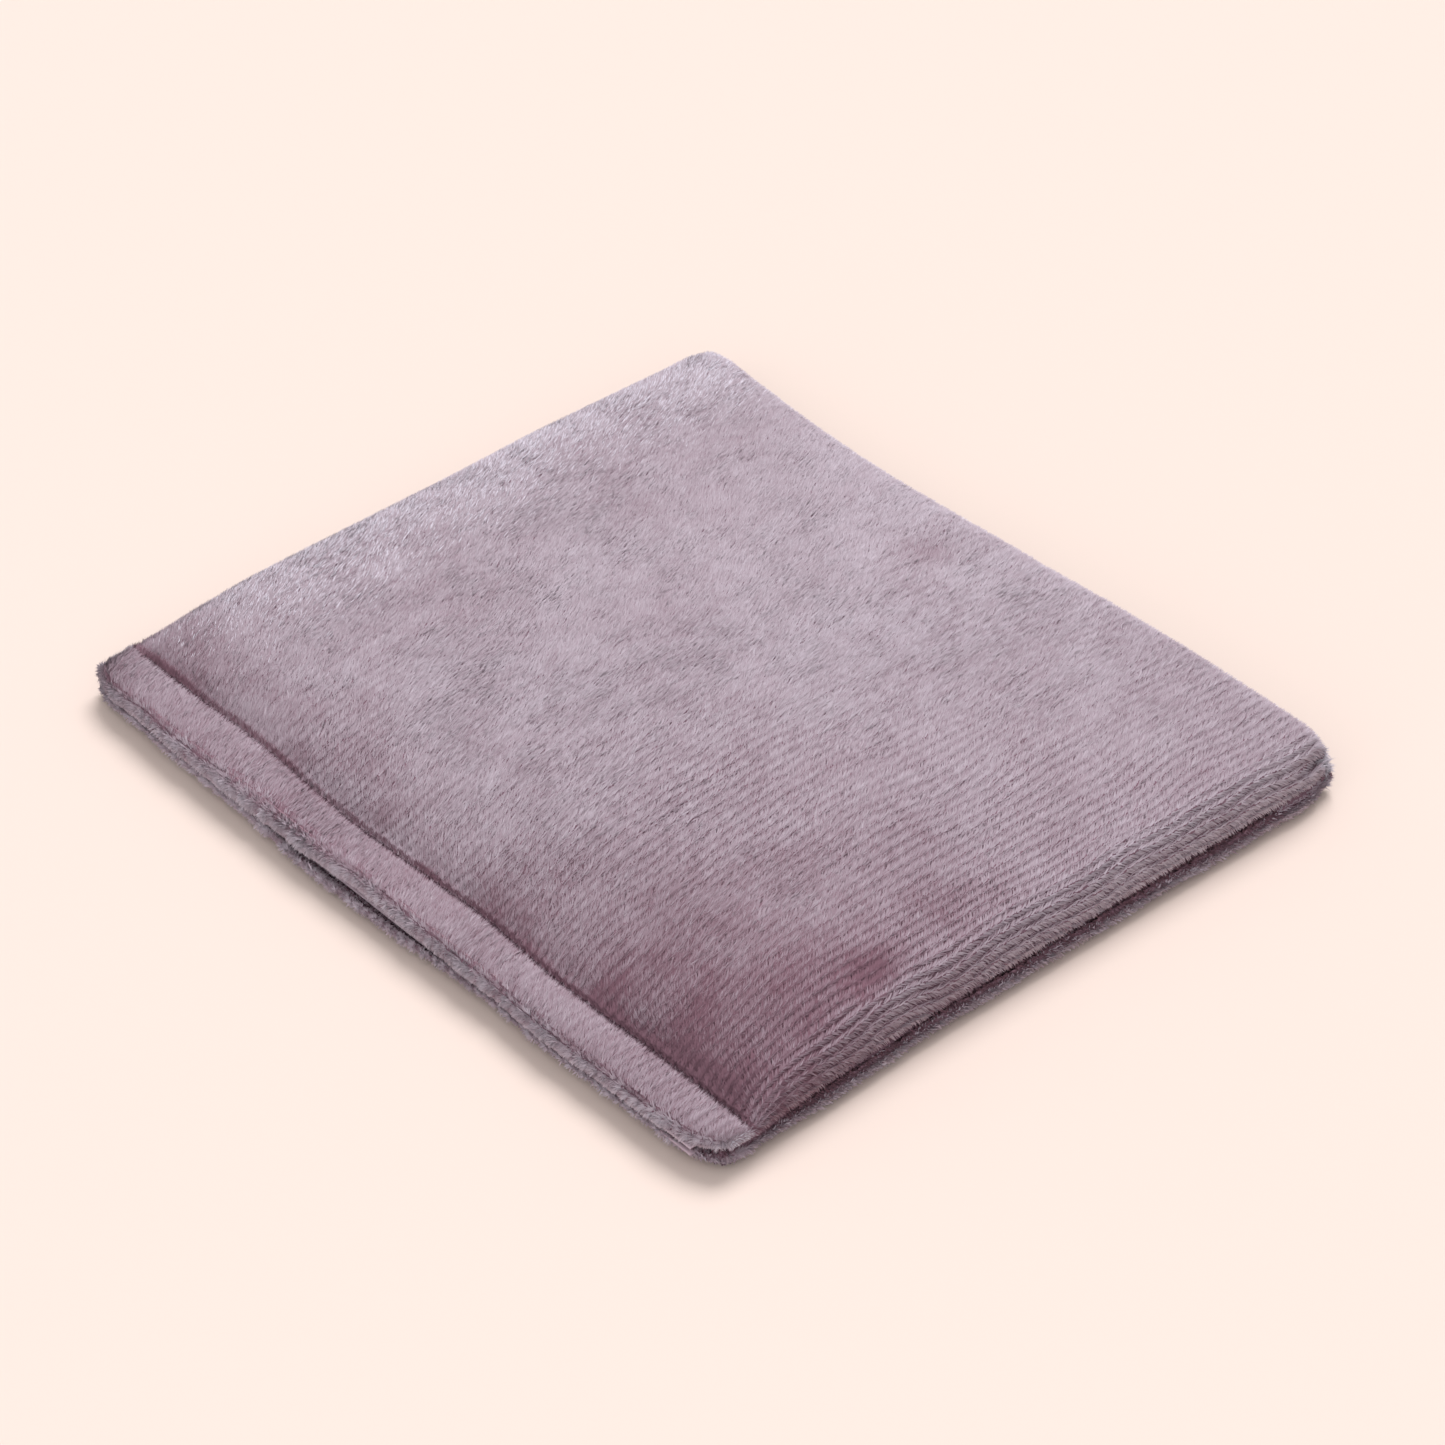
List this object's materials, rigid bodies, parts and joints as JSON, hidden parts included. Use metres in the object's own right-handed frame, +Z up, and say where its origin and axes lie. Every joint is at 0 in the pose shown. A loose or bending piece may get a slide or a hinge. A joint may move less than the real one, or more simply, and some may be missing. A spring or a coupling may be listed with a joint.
{
  "type": "eye pillow",
  "caption": "Flat, nearly square plush eye pillow with a hemmed mouth that opens along one side and a loose-filled cotton bag inside.",
  "frame": {"origin": "centre of the underside, on the table", "axes": "+Z up, X along the mouth, the mouth on the -Y side and the back seam on the +Y side"},
  "size_m": [0.2056, 0.182, 0.0179],
  "materials": {
    "plush": "short-pile coral fleece, dusty mauve",
    "cotton": "undyed plain-weave cotton",
    "hook_tape": "woven nylon tape with moulded hooks",
    "loop_tape": "brushed nylon loop tape",
    "sewing_thread": "spun polyester thread, mauve",
    "bag_thread": "natural cotton thread",
    "grain": "small glossy brown seeds, loose"
  },
  "bodies": {
    "cover": {"cover_top_panel": "plush", "cover_bottom_panel": "plush", "hook_tape": "hook_tape", "lower_lip_inner_stitch": "sewing_thread", "lower_lip_outer_stitch": "sewing_thread", "left_side_seam_thread": "sewing_thread", "right_side_seam_thread": "sewing_thread", "back_seam_thread": "sewing_thread", "left_bar_tack": "sewing_thread", "right_bar_tack": "sewing_thread", "inner_bag_top": "cotton", "inner_bag_bottom": "cotton", "inner_bag_seam_thread": "bag_thread", "inner_bag_closing_stitch": "bag_thread", "grain_filling": "grain"},
    "lip": {"upper_lip": "plush", "loop_tape": "loop_tape", "upper_lip_inner_stitch": "sewing_thread", "upper_lip_outer_stitch": "sewing_thread"}
  },
  "joints": [
    {"name": "lip_opens", "type": "hinge", "parent": "cover", "child": "lip", "pos_m": [0, -0.07795, 0.0072], "axis": [-1, 0, 0], "range_deg": [0, 70]}
  ]
}
